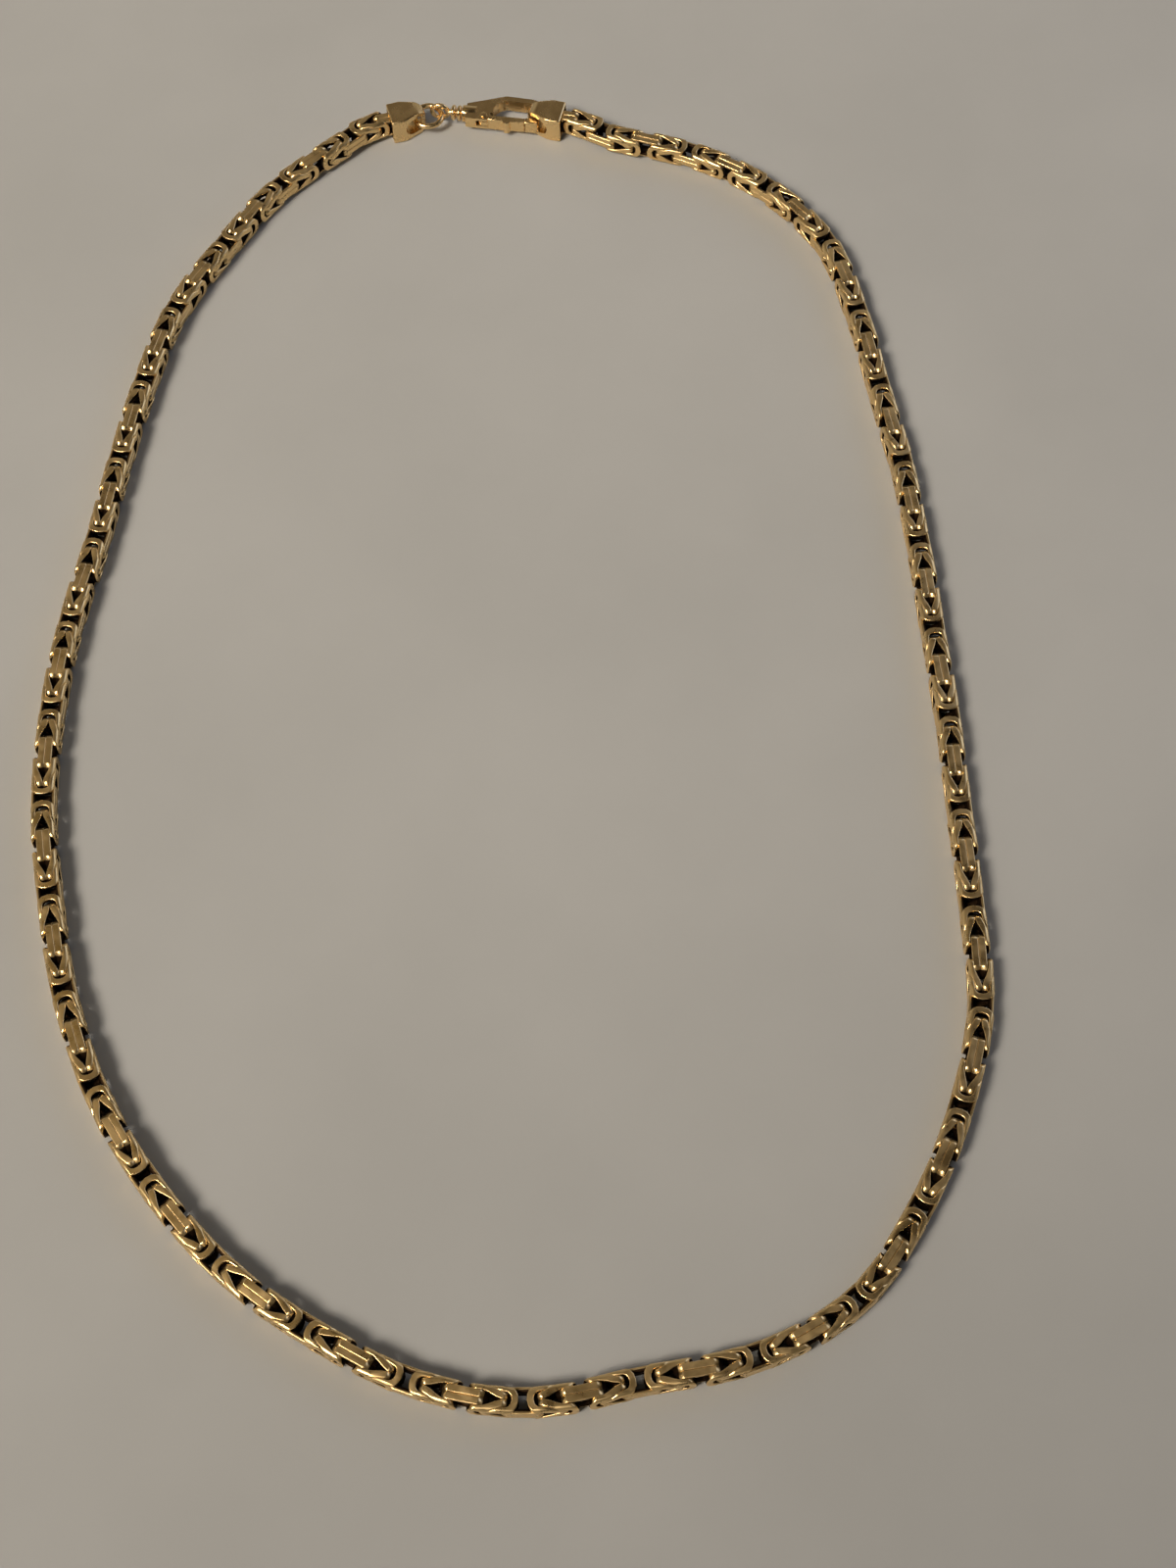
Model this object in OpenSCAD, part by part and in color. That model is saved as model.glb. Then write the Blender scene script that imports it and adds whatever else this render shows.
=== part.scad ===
// Square byzantine chain with two end caps, a jump ring and a swivel lobster clasp,
// lying closed on a flat surface. Millimetres, +Z up, the surface at z = 0.

/* [Chain] */
// Side of the chain's square section
chain_w = 3.3; // [2.8:0.1:4]
// Bevel along the chain's four long edges
chain_bevel = 0.55; // [0.3:0.05:0.9]
// Distance along the chain over which it rises to the middle of an end cap
chain_rise_len = 26; // [15:1:40]

/* [End caps] */
// Side of an end cap's square section
cap_w = 4.6; // [4.2:0.1:5.6]
// Length of an end cap from its chain side to the tip of its bow
cap_len = 6.0; // [5.4:0.1:8]
// Length of the full-width box before the cap narrows to its bow
cap_box_len = 2.2; // [1.8:0.1:3]
// Width of the bow at its tip
bow_w = 2.2; // [1.8:0.1:2.3]
// Thickness of the bow's strap
bow_t = 0.85; // [0.6:0.05:1]
// Length of the cross hole behind the strap
bow_gap = 2.9; // [2.7:0.1:3.6]
// Depth of the socket that holds the chain's end
socket_depth = 1.2; // [0.8:0.1:1.4]

/* [Jump ring] */
// Outer diameter of the jump ring
ring_d = 5.4; // [5:0.1:6.5]
// Wire of the jump ring
ring_wire = 0.9; // [0.7:0.05:1]

/* [Swivel] */
// Outer diameter of the swivel's eye
eye_d = 3.4; // [3.2:0.1:3.6]
// Wire of the swivel's eye
eye_wire = 0.75; // [0.6:0.05:0.8]
// Diameter of the two turned ribs
rib_d = 2.5; // [2:0.1:3]
// Width of one rib
rib_w = 0.72; // [0.5:0.02:0.9]
// Diameter of the neck between the ribs and of the post
neck_d = 1.1; // [0.9:0.05:1.2]
// Diameter of the post's head inside the clasp
post_head_d = 1.6; // [1.4:0.05:1.7]
// Length of the post's head
post_head_len = 0.6; // [0.4:0.05:0.8]

/* [Clasp] */
// Length of the clasp's body from its barrel to its nose
clasp_len = 12.8; // [12.5:0.1:14]
// Width of the clasp's body across the hook
clasp_w = 5.4; // [5:0.1:6.2]
// Distance from the swivel's axis to the lever's outer face
lever_side = 1.9; // [1.7:0.05:2.2]
// Thickness of the body and the lever
clasp_t = 2.2; // [1.8:0.1:2.3]
// Width of the hook's arm
arm_w = 0.95; // [0.8:0.05:1.2]
// Diameter of the barrel that holds the swivel
barrel_d = 2.7; // [2.4:0.1:3.2]
// Length of the barrel
barrel_len = 2.3; // [2.2:0.1:2.4]
// Metal left between the post's head and the barrel's inner end
barrel_wall = 0.7; // [0.5:0.05:0.9]

/* [Lever] */
// Width of the lever's arm
lever_w = 1.0; // [0.8:0.05:1.1]
// Distance from the lever's tip to the clasp's nose
lever_back = 2.3; // [2.2:0.1:3]
// Angle by which the lever opens
lever_open = 20; // [10:1:22]
// Thickness of the lever's root between the body's two ears
root_t = 0.8; // [0.6:0.05:1]
// Diameter of the pivot pin
pin_d = 0.7; // [0.5:0.05:0.8]
// Diameter of the pin's two heads
pin_head_d = 1.1; // [0.9:0.05:1.3]
// Height of a pin head above the body
pin_head_h = 0.12; // [0.08:0.01:0.2]
// Radius of the thumb knob on the lever
knob_r = 0.65; // [0.5:0.05:0.8]
// Distance from the pivot to the thumb knob
knob_at = 3.9; // [3:0.1:5]

/* [Clearances] */
// Gap between pieces that lie in or against each other
gap = 0.08; // [0.05:0.01:0.1]
// Radial running clearance of the pivot pin and the swivel's post
run_gap = 0.05; // [0.03:0.01:0.08]
// Radial gap round the pivot pin where the body holds it
pin_fit = 0.02; // [0.01:0.01:0.04]

/* [Hidden] */
gold = [0.86, 0.68, 0.36];
gold_bright = [0.92, 0.76, 0.44];
round_fn = 64;
sweep_steps = 2;
// By how much a cut runs past the face that it opens.
cut = 1;

// Points chosen by hand along the middle of the chain, from the left cap down the
// left side, along the bottom and up the right side to the right cap.
chain_route = [
    [-23, 98.5], [-33.5, 89.5], [-42, 77.5], [-49, 65], [-53, 51], [-56, 36.5],
    [-58.5, 22.5], [-61.5, 8], [-63, -6.5], [-63, -21], [-61, -35.5], [-58, -49.5],
    [-53, -63], [-45.5, -75.5], [-36, -86.5], [-25, -95], [-12, -102], [2, -105],
    [16.5, -103], [31, -100.5], [43.5, -94], [52.5, -82.5], [59, -69.5], [63, -56],
    [63.5, -41.5], [63.5, -27.5], [63.5, -13], [63, 1.5], [62.5, 16], [61.5, 30.5],
    [59.5, 45], [57.5, 59.5], [54, 73.5], [46, 85], [35, 93], [21.5, 97.5]];

// The chained places of the closure: each piece is found from the one before it.
cap_left_at = [-15.2, 102.6];
cap_left_turn = 14;
clasp_turn = -10;
// Where the eye's wire lies inside the jump ring, as a direction from its centre.
eye_seat = 62;
cap_right_turn = -16;

cap_z = cap_w / 2;
hole_h = cap_w - 2 * bow_t;
hole_corner = 0.35;
// Rounding of the bow's outside beyond a round that is even with the hole's corner.
bow_soft = 0.6;
bow_round = bow_t + hole_corner + bow_soft;
clasp_z = bow_t + 2 * gap + clasp_t / 2;
socket_w = chain_w + 2 * gap;

ring_r = (ring_d - ring_wire) / 2;
ring_bore_r = ring_r - ring_wire / 2;
ring_ahead = sqrt(pow(ring_bore_r - gap, 2) - pow(bow_w / 2, 2)) - bow_t;
eye_r = (eye_d - eye_wire) / 2;
eye_seat_r = ring_bore_r - eye_wire / 2 - gap;
rib_step = rib_w / 3;
neck_len = 2 * rib_w + 3 * rib_step;
swivel_len = 2 * eye_r + eye_wire / 2 + neck_len;
neck_bite = 0.3;

// The pivot, the ears round it, the lever's root between them and the slot that it turns in.
ear_r = 1.1;
root_r = ear_r - 2 * gap;
pivot_past_barrel = 1.3;
pivot = [barrel_len + pivot_past_barrel, root_r - lever_side];
lever_reach = clasp_len - pivot[0] - lever_back;
root_tail = 1.4;
root_in = 0.05;
knob_in = 0.1;
slot_t = root_t + 2 * gap;

// The hook's outline: a foot at the lever's tip, a nose, a crown and the end of its base.
foot_r = 0.9;
pocket_r = 1.0;
nose_r = arm_w + pocket_r;
nose_at = [clasp_len - nose_r, 1.35];
crown_low = 0.3;
crown_r = clasp_w - lever_side - crown_low;
crown_at = [clasp_len * 0.57, crown_low];
base_x = 0.6;
base_l = 0.5;
pocket_x = clasp_len - arm_w;
pocket_corner = 0.3;
// The opening's corner beside the ears: its distance from the pivot and its radius.
heel = [2.6, 1.6];
heel_r = 0.8;
// Where the right cap's strap lies in the hook: room to the nose, and off the swivel's axis.
pocket_room = 0.32;
strap_side = 0.5;

function dir(a) = [cos(a), sin(a)];
function across(a) = [-sin(a), cos(a)];
cap_left_tip = cap_left_at + cap_len * dir(cap_left_turn);
ring_at = cap_left_tip + ring_ahead * dir(cap_left_turn);
clasp_at = ring_at + eye_seat_r * dir(eye_seat) + swivel_len * dir(clasp_turn);
cap_right_tip = clasp_at + (pocket_x - pocket_room - bow_t) * dir(clasp_turn)
    + strap_side * across(clasp_turn);
cap_right_at = cap_right_tip + cap_len * dir(cap_right_turn);

// The chain's ends lie straight in the two sockets.
seat_in = socket_depth - gap;
lead_out = 3.5;
route = concat(
    [cap_left_at + seat_in * dir(cap_left_turn),
     cap_left_at - lead_out * dir(cap_left_turn)],
    chain_route,
    [cap_right_at + lead_out * dir(cap_right_turn),
     cap_right_at - seat_in * dir(cap_right_turn)]);
last = len(route) - 1;

function at(i) =
    i < 0 ? 2 * route[0] - route[1] :
    i > last ? 2 * route[last] - route[last - 1] : route[i];
function spline(i, t) =
    0.5 * (2 * at(i) + (at(i + 1) - at(i - 1)) * t
        + (2 * at(i - 1) - 5 * at(i) + 4 * at(i + 1) - at(i + 2)) * t * t
        + (3 * at(i) - at(i - 1) - 3 * at(i + 1) + at(i + 2)) * t * t * t);
function slope(i, t) =
    0.5 * ((at(i + 1) - at(i - 1))
        + 2 * (2 * at(i - 1) - 5 * at(i) + 4 * at(i + 1) - at(i + 2)) * t
        + 3 * (3 * at(i) - at(i - 1) - 3 * at(i + 1) + at(i + 2)) * t * t);
function unit(v) = v / norm(v);
function ease(x) = let (c = max(0, min(1, x))) c * c * (3 - 2 * c);
function rise(p) =
    (cap_w - chain_w) / 2
        * (1 - ease((min(norm(p - cap_left_at), norm(p - cap_right_at)) - lead_out) / chain_rise_len));
function centre(p) = [p[0], p[1], chain_w / 2 + rise(p)];

// The chain's section, seen along the chain: a square with bevelled edges.
half = chain_w / 2;
flat = half - chain_bevel;
section = [[half, -flat], [half, flat], [flat, half], [-flat, half],
           [-half, flat], [-half, -flat], [-flat, -half], [flat, -half]];

stations = concat(
    [for (i = [0 : last - 1], k = [0 : sweep_steps - 1]) [i, k / sweep_steps]],
    [[last - 1, 1]]);
rings = [for (s = stations)
    let (p = centre(spline(s[0], s[1])), n = unit(slope(s[0], s[1])))
    [for (c = section) p + [-n[1] * c[0], n[0] * c[0], c[1]]]];

module sweep(rings) {
    n = len(rings[0]);
    m = len(rings);
    sides = [for (j = [0 : m - 2], k = [0 : n - 1])
        [j * n + k, (j + 1) * n + k, (j + 1) * n + (k + 1) % n, j * n + (k + 1) % n]];
    first = [for (k = [0 : n - 1]) k];
    end = [for (k = [n - 1 : -1 : 0]) (m - 1) * n + k];
    polyhedron(points = [for (r = rings) each r], faces = concat(sides, [first], [end]));
}

module chain() color(gold) sweep(rings);

// A cap along +X: socket side at x = 0, tip of the bow at x = cap_len.
module cap_plan() {
    tip_r = bow_w / 2;
    hull() {
        translate([0, -cap_w / 2]) square([cap_box_len, cap_w]);
        translate([cap_len - tip_r, 0]) circle(r = tip_r, $fn = round_fn);
    }
}

module cap_side() {
    translate([0, -cap_w / 2]) square([cap_len - bow_round, cap_w]);
    translate([0, bow_round - cap_w / 2]) square([cap_len, cap_w - 2 * bow_round]);
    for (s = [-1, 1])
        translate([cap_len - bow_round, s * (cap_w / 2 - bow_round)])
            circle(r = bow_round, $fn = round_fn);
}

module cap_hole() {
    front = cap_len - bow_t;
    back = front - bow_gap + hole_h / 2;
    translate([back, 0]) circle(d = hole_h, $fn = round_fn);
    translate([back, -hole_h / 2]) square([front - hole_corner - back, hole_h]);
    translate([back, hole_corner - hole_h / 2]) square([front - back, hole_h - 2 * hole_corner]);
    for (s = [-1, 1])
        translate([front - hole_corner, s * (hole_h / 2 - hole_corner)])
            circle(r = hole_corner, $fn = round_fn);
}

module end_cap() {
    difference() {
        intersection() {
            linear_extrude(cap_w) cap_plan();
            translate([0, 0, cap_z]) rotate([90, 0, 0])
                linear_extrude(cap_w + cut, center = true) cap_side();
        }
        translate([0, 0, cap_z]) rotate([90, 0, 0])
            linear_extrude(cap_w + cut, center = true) cap_hole();
        translate([-cut, -socket_w / 2, cap_z - socket_w / 2])
            cube([socket_depth + cut, socket_w, socket_w]);
    }
}

module end_cap_left() color(gold_bright)
    translate(cap_left_at) rotate(cap_left_turn) end_cap();

module end_cap_right() color(gold_bright)
    translate(cap_right_at) rotate(cap_right_turn + 180) end_cap();

module jump_ring() color(gold_bright)
    translate([ring_at[0], ring_at[1], clasp_z])
        rotate_extrude($fn = round_fn) translate([ring_r, 0]) circle(d = ring_wire, $fn = 32);

// The clasp's own pieces lie along +X from the barrel's left face, with the
// swivel's axis at y = 0 and the body's mid-plane at z = 0.
module in_clasp() translate([clasp_at[0], clasp_at[1], clasp_z]) rotate(clasp_turn) children();

module clasp_swivel() color(gold_bright) in_clasp() {
    eye_x = -neck_len - eye_wire / 2 - eye_r;
    translate([eye_x, 0, 0]) rotate([90, 0, 0])
        rotate_extrude($fn = round_fn) translate([eye_r, 0]) circle(d = eye_wire, $fn = 32);
    rotate([0, 90, 0]) rotate_extrude($fn = round_fn) swivel_profile();
}

// Half of the turned neck: radius along X, the swivel's axis along Y.
module swivel_profile() {
    post = barrel_len - barrel_wall;
    translate([0, -neck_len - neck_bite]) square([neck_d / 2, neck_len + neck_bite + post]);
    for (k = [0, 1]) translate([0, -neck_len + rib_step + k * (rib_w + rib_step)]) {
        square([rib_d / 2 - rib_w / 2, rib_w]);
        translate([rib_d / 2 - rib_w / 2, rib_w / 2]) circle(d = rib_w, $fn = 32);
    }
    translate([0, post - post_head_len]) square([post_head_d / 2, post_head_len]);
}

// The clasp's flat body: a base, a crowned hook and a nose that turns back to the lever.
module body_outline() {
    intersection() {
        hull() {
            translate(nose_at) circle(r = nose_r, $fn = round_fn);
            translate([clasp_len - foot_r, foot_r - lever_side]) circle(r = foot_r, $fn = round_fn);
            translate(crown_at) circle(r = crown_r, $fn = round_fn);
            translate([base_x, -lever_side]) square([base_l, lever_side + barrel_d / 2]);
        }
        translate([0, -lever_side]) square([clasp_len, clasp_w]);
    }
}

module body_opening() {
    floor_y = lever_w + gap - lever_side;
    intersection() {
        hull() {
            translate(nose_at) circle(r = pocket_r, $fn = round_fn);
            translate([pocket_x - pocket_corner, floor_y + pocket_corner])
                circle(r = pocket_corner, $fn = 32);
            translate(crown_at) circle(r = crown_r - arm_w, $fn = round_fn);
            translate(pivot + heel) circle(r = heel_r, $fn = round_fn);
        }
        translate([0, floor_y]) square([clasp_len, clasp_w]);
    }
}

// Room for the lever from closed to fully open, measured from the pivot.
module lever_room() {
    top = lever_side + pivot[1];
    inner = lever_w - top + gap;
    far = lever_reach + gap;
    reach = [for (a = [lever_open : -lever_open / 4 : 0]) far * dir(a) + inner * across(a)];
    polygon(concat([[0, 0], inner * across(lever_open)], reach,
        [[far, -top - cut], [0, -top - cut]]));
}

module clasp_body() color(gold) in_clasp() difference() {
    union() {
        linear_extrude(clasp_t, center = true) difference() {
            body_outline();
            body_opening();
            difference() {
                translate(pivot) intersection() {
                    lever_room();
                    circle(r = lever_reach + gap, $fn = round_fn);
                }
                translate(pivot) circle(r = ear_r, $fn = round_fn);
            }
        }
        rotate([0, 90, 0]) cylinder(d = barrel_d, h = barrel_len, $fn = round_fn);
    }
    translate([-cut, 0, 0]) rotate([0, 90, 0])
        cylinder(r = neck_d / 2 + run_gap, h = cut + barrel_len - barrel_wall, $fn = round_fn);
    translate([barrel_len - barrel_wall - post_head_len - gap, 0, 0]) rotate([0, 90, 0])
        cylinder(r = post_head_d / 2 + run_gap, h = post_head_len + 2 * gap, $fn = round_fn);
    translate([pivot[0] - ear_r - gap, -lever_side - cut, -slot_t / 2])
        cube([2 * ear_r + 2 * gap, lever_side + cut + pivot[1] + ear_r + gap, slot_t]);
    translate(pivot)
        cylinder(r = pin_d / 2 + pin_fit, h = clasp_t + cut, center = true, $fn = round_fn);
}

module clasp_lever() color(gold_bright) in_clasp() translate(pivot) difference() {
    top = lever_side + pivot[1];
    union() {
        linear_extrude(clasp_t, center = true) difference() {
            intersection() {
                translate([0, -top]) square([lever_reach, lever_w]);
                circle(r = lever_reach, $fn = round_fn);
            }
            circle(r = ear_r + gap, $fn = round_fn);
        }
        translate([0, 0, -root_t / 2]) {
            cylinder(r = root_r, h = root_t, $fn = round_fn);
            translate([0, root_in - top, 0])
                cube([ear_r + root_tail, lever_w - 2 * root_in, root_t]);
        }
        translate([knob_at, knob_in - top, 0])
            cylinder(r = knob_r, h = clasp_t, center = true, $fn = round_fn);
    }
    cylinder(r = pin_d / 2 + run_gap, h = clasp_t + cut, center = true, $fn = round_fn);
}

module lever_pin() color(gold_bright) in_clasp() translate(pivot) {
    cylinder(d = pin_d, h = clasp_t + 2 * gap, center = true, $fn = round_fn);
    for (s = [0, 1]) rotate([180 * s, 0, 0]) translate([0, 0, clasp_t / 2 + gap / 2])
        cylinder(d = pin_head_d, h = pin_head_h, $fn = round_fn);
}

chain();
end_cap_left();
end_cap_right();
jump_ring();
clasp_swivel();
clasp_body();
clasp_lever();
lever_pin();
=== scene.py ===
"""Looks of a byzantine chain necklace with two end caps, a jump ring and a swivel lobster clasp.

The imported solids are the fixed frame. The woven rings replace the chain's smooth tube, and each
small piece of the closure is a copy of its solid with softened edges. Sizes are in millimetres
until a mesh is made, and in metres from there on.
"""

import logging
import math
from dataclasses import dataclass, field
from enum import Enum
from typing import Any, Sequence

import bmesh
import bpy
from mathutils import Matrix, Vector


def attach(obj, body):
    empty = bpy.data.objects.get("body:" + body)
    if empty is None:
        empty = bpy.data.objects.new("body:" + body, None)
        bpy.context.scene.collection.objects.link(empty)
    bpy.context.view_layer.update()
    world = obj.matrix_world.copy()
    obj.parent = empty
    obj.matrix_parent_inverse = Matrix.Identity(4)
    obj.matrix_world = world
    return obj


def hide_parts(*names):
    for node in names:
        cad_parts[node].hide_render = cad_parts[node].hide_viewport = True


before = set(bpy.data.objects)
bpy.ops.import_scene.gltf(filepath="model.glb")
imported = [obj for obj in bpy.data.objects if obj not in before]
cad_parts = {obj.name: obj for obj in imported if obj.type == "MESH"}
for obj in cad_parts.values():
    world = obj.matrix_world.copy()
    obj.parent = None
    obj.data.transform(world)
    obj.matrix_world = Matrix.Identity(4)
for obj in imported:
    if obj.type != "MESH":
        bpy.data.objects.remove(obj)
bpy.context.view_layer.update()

LOG = logging.getLogger("necklace")
MM = 0.001
# A noise texture's values lie round a half, and nearly all of them between these two.
NOISE_BAND = (0.3, 0.7)
# Shape of a bevel that is a quarter of a circle.
ROUND = 0.5

# The middle of the chain seen from above, in millimetres: from the left cap down the left side,
# along the bottom and up the right side. The solids have the same points.
CHAIN_ROUTE = (
    (-23, 98.5), (-33.5, 89.5), (-42, 77.5), (-49, 65), (-53, 51), (-56, 36.5),
    (-58.5, 22.5), (-61.5, 8), (-63, -6.5), (-63, -21), (-61, -35.5), (-58, -49.5),
    (-53, -63), (-45.5, -75.5), (-36, -86.5), (-25, -95), (-12, -102), (2, -105),
    (16.5, -103), (31, -100.5), (43.5, -94), (52.5, -82.5), (59, -69.5), (63, -56),
    (63.5, -41.5), (63.5, -27.5), (63.5, -13), (63, 1.5), (62.5, 16), (61.5, 30.5),
    (59.5, 45), (57.5, 59.5), (54, 73.5), (46, 85), (35, 93), (21.5, 97.5),
)


class Body(Enum):
    """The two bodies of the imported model."""

    NECKLACE = "necklace"
    LEVER = "lever"


class Slot(Enum):
    """The record's material slots."""

    WOVEN = "woven_gold"
    POLISHED = "polished_gold"


def linear(hex_colour: str) -> tuple[float, float, float, float]:
    """Turns an sRGB hex colour into linear values.

    Args:
        hex_colour: Six hex digits after a hash sign.

    Returns:
        Linear red, green and blue, and an alpha of 1.
    """
    parts = [int(hex_colour[i:i + 2], 16) / 255 for i in (1, 3, 5)]
    red, green, blue = (p / 12.92 if p <= 0.04045 else ((p + 0.055) / 1.055) ** 2.4 for p in parts)
    return red, green, blue, 1.0


def add_node(tree: bpy.types.NodeTree, kind: str, inputs: dict[Any, Any] | None = None,
             **settings: Any) -> bpy.types.Node:
    """Adds a node to a tree with its settings, values and links.

    Args:
        tree: The shader or geometry tree.
        kind: The node's type name.
        inputs: Values or output sockets by the name or the number of the input.
        **settings: Properties of the node.

    Returns:
        The new node.
    """
    node = tree.nodes.new(kind)
    for name, value in settings.items():
        setattr(node, name, value)
    for name, value in (inputs or {}).items():
        if isinstance(value, bpy.types.NodeSocket):
            tree.links.new(value, node.inputs[name])
        else:
            node.inputs[name].default_value = value
    return node


def per_metre(size_mm: float) -> float:
    """Scale of a pattern on Object coordinates whose cells are that many millimetres wide."""
    return 1 / (size_mm * MM)


def eased(share: float) -> float:
    """Turns an even rise from 0 to 1 into a smooth one that stays level beyond both ends.

    Args:
        share: How far along the rise a place is.

    Returns:
        The smooth rise's height there, from 0 to 1.
    """
    held = min(max(share, 0.0), 1.0)
    return held * held * (3 - 2 * held)


@dataclass(frozen=True)
class GoldFinish:
    """A finish of 14 carat yellow gold.

    Attributes:
        name: The material's name.
        gold: Colour of the bare metal, seen straight on.
        recess_film_and_shade: Colour of the polishing film in recesses, which also serves as
            painted shade there.
        roughness: Mean roughness of the polished face.
        scratch_mm: Spacing of the fine wear marks.
        scratch_depth_mm: Depth of the wear marks.
        film_and_shade_mm: Depths below the ground faces between which the film and the painted
            shade thicken, or None.
        film_and_shade_ragged_mm: Depth by which the edge of the film and the painted shade wanders.
        film_and_shade_roughness: Roughness of the film.
        scratch_stretch: How much longer than wide the wear marks are.
        scratch_turn: Turn of the wear marks about the three axes, in radians.
        patch_mm: Width of the soft patches that handling leaves.
        dulling: Roughness of the brightest and the dullest patch, against the mean.
    """

    name: str
    gold: str
    recess_film_and_shade: str
    roughness: float
    scratch_mm: float
    scratch_depth_mm: float
    film_and_shade_mm: tuple[float, float] | None = None
    film_and_shade_ragged_mm: float = 0.3
    film_and_shade_roughness: float = 0.6
    scratch_stretch: float = 5.0
    scratch_turn: tuple[float, float, float] = (0.4, 0.2, 0.9)
    patch_mm: float = 2.0
    dulling: tuple[float, float] = (0.7, 1.5)

    def material(self) -> bpy.types.Material:
        """Builds the finish as a node material.

        Returns:
            The material.
        """
        made = bpy.data.materials.new(self.name)
        made.use_nodes = True
        tree = made.node_tree
        tree.nodes.clear()
        place = add_node(tree, "ShaderNodeTexCoord").outputs["Object"]
        # Handling leaves soft patches where the polish is a little duller or brighter.
        patches = add_node(tree, "ShaderNodeTexNoise", {
            "Vector": place, "Scale": per_metre(self.patch_mm), "Detail": 3.0, "Roughness": 0.6})
        dulled = add_node(tree, "ShaderNodeMapRange", {
            "Value": patches.outputs["Fac"], "From Min": NOISE_BAND[0], "From Max": NOISE_BAND[1],
            "To Min": self.roughness * self.dulling[0],
            "To Max": self.roughness * self.dulling[1]})
        # Fine wear marks, stretched along one way and drawn coarser than they are to show.
        stretched = add_node(tree, "ShaderNodeMapping", {
            "Vector": place, "Rotation": self.scratch_turn,
            "Scale": (1.0, self.scratch_stretch, 1.0)})
        marks = add_node(tree, "ShaderNodeTexNoise", {
            "Vector": stretched.outputs["Vector"],
            "Scale": per_metre(self.scratch_mm * self.scratch_stretch),
            "Detail": 4.0, "Roughness": 0.65})
        bump = add_node(tree, "ShaderNodeBump", {
            "Height": marks.outputs["Fac"], "Strength": 1.0,
            "Distance": self.scratch_depth_mm * MM})
        gold, film_and_shade = linear(self.gold), linear(self.recess_film_and_shade)
        shader = add_node(tree, "ShaderNodeBsdfPrincipled", {
            "Metallic": 1.0, "Base Color": gold, "Normal": bump.outputs["Normal"]})
        if self.film_and_shade_mm is None:
            tree.links.new(dulled.outputs["Result"], shader.inputs["Roughness"])
        else:
            self._film_and_shade(tree, shader, dulled.outputs["Result"], patches.outputs["Fac"], gold, film_and_shade)
        add_node(tree, "ShaderNodeOutputMaterial", {"Surface": shader.outputs["BSDF"]})
        return made

    def _film_and_shade(self, tree: bpy.types.NodeTree, shader: bpy.types.Node,
              roughness: bpy.types.NodeSocket, patches: bpy.types.NodeSocket,
              gold: Sequence[float], film_and_shade: Sequence[float]) -> None:
        """Darkens what lies deep between the rings: polishing film and dust that stay there, and
        painted shade where the neighbouring rings shade the deep wires.

        Args:
            tree: The material's tree.
            shader: The material's shader.
            roughness: Roughness of the bare metal.
            patches: Noise that breaks the film's edge up.
            gold: Linear colour of the bare metal.
            film_and_shade: Linear colour of the film, which is also the painted shade.
        """
        shallow, deep = (depth * MM for depth in self.film_and_shade_mm)
        below = add_node(tree, "ShaderNodeAttribute", attribute_name="below").outputs["Fac"]
        uneven = add_node(tree, "ShaderNodeMath", {
            0: patches, 1: self.film_and_shade_ragged_mm * MM, 2: below},
            operation="MULTIPLY_ADD").outputs[0]
        # Deep places fade to the dark colour: partly real polishing film, partly painted shade
        # between the rings.
        bare_and_lit = add_node(tree, "ShaderNodeMapRange", {
            "Value": uneven, "From Min": deep, "From Max": shallow},
            interpolation_type="SMOOTHSTEP").outputs["Result"]
        # A mix node's sockets for colours are its inputs 6 and 7 and its output 2.
        colour = add_node(tree, "ShaderNodeMix", {0: bare_and_lit, 6: film_and_shade, 7: gold}, data_type="RGBA")
        rough = add_node(tree, "ShaderNodeMix", {
            0: bare_and_lit, 2: self.film_and_shade_roughness, 3: roughness}, data_type="FLOAT")
        tree.links.new(colour.outputs[2], shader.inputs["Base Color"])
        tree.links.new(rough.outputs[0], shader.inputs["Roughness"])


# Rolled gold wire: the rings are pressed from it and tumbled bright, so the eye sees a soft warm
# yellow mirror on every flat. Deep between the rings the colour turns dark brown: partly polishing
# film, partly painted shade.
WOVEN_GOLD = GoldFinish(
    name="rolled_gold_wire", gold="#EECE94", recess_film_and_shade="#37281B", roughness=0.31,
    scratch_mm=0.25, scratch_depth_mm=0.003, film_and_shade_mm=(0.62, 0.8))

# Cast gold, polished by hand: the caps and the clasp have the same warm yellow, mirror a little
# more sharply than the weave and have no film or painted shade.
POLISHED_GOLD = GoldFinish(
    name="cast_gold_polished", gold="#EECE96", recess_film_and_shade="#37281B", roughness=0.22,
    scratch_mm=0.35, scratch_depth_mm=0.0012)


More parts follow.
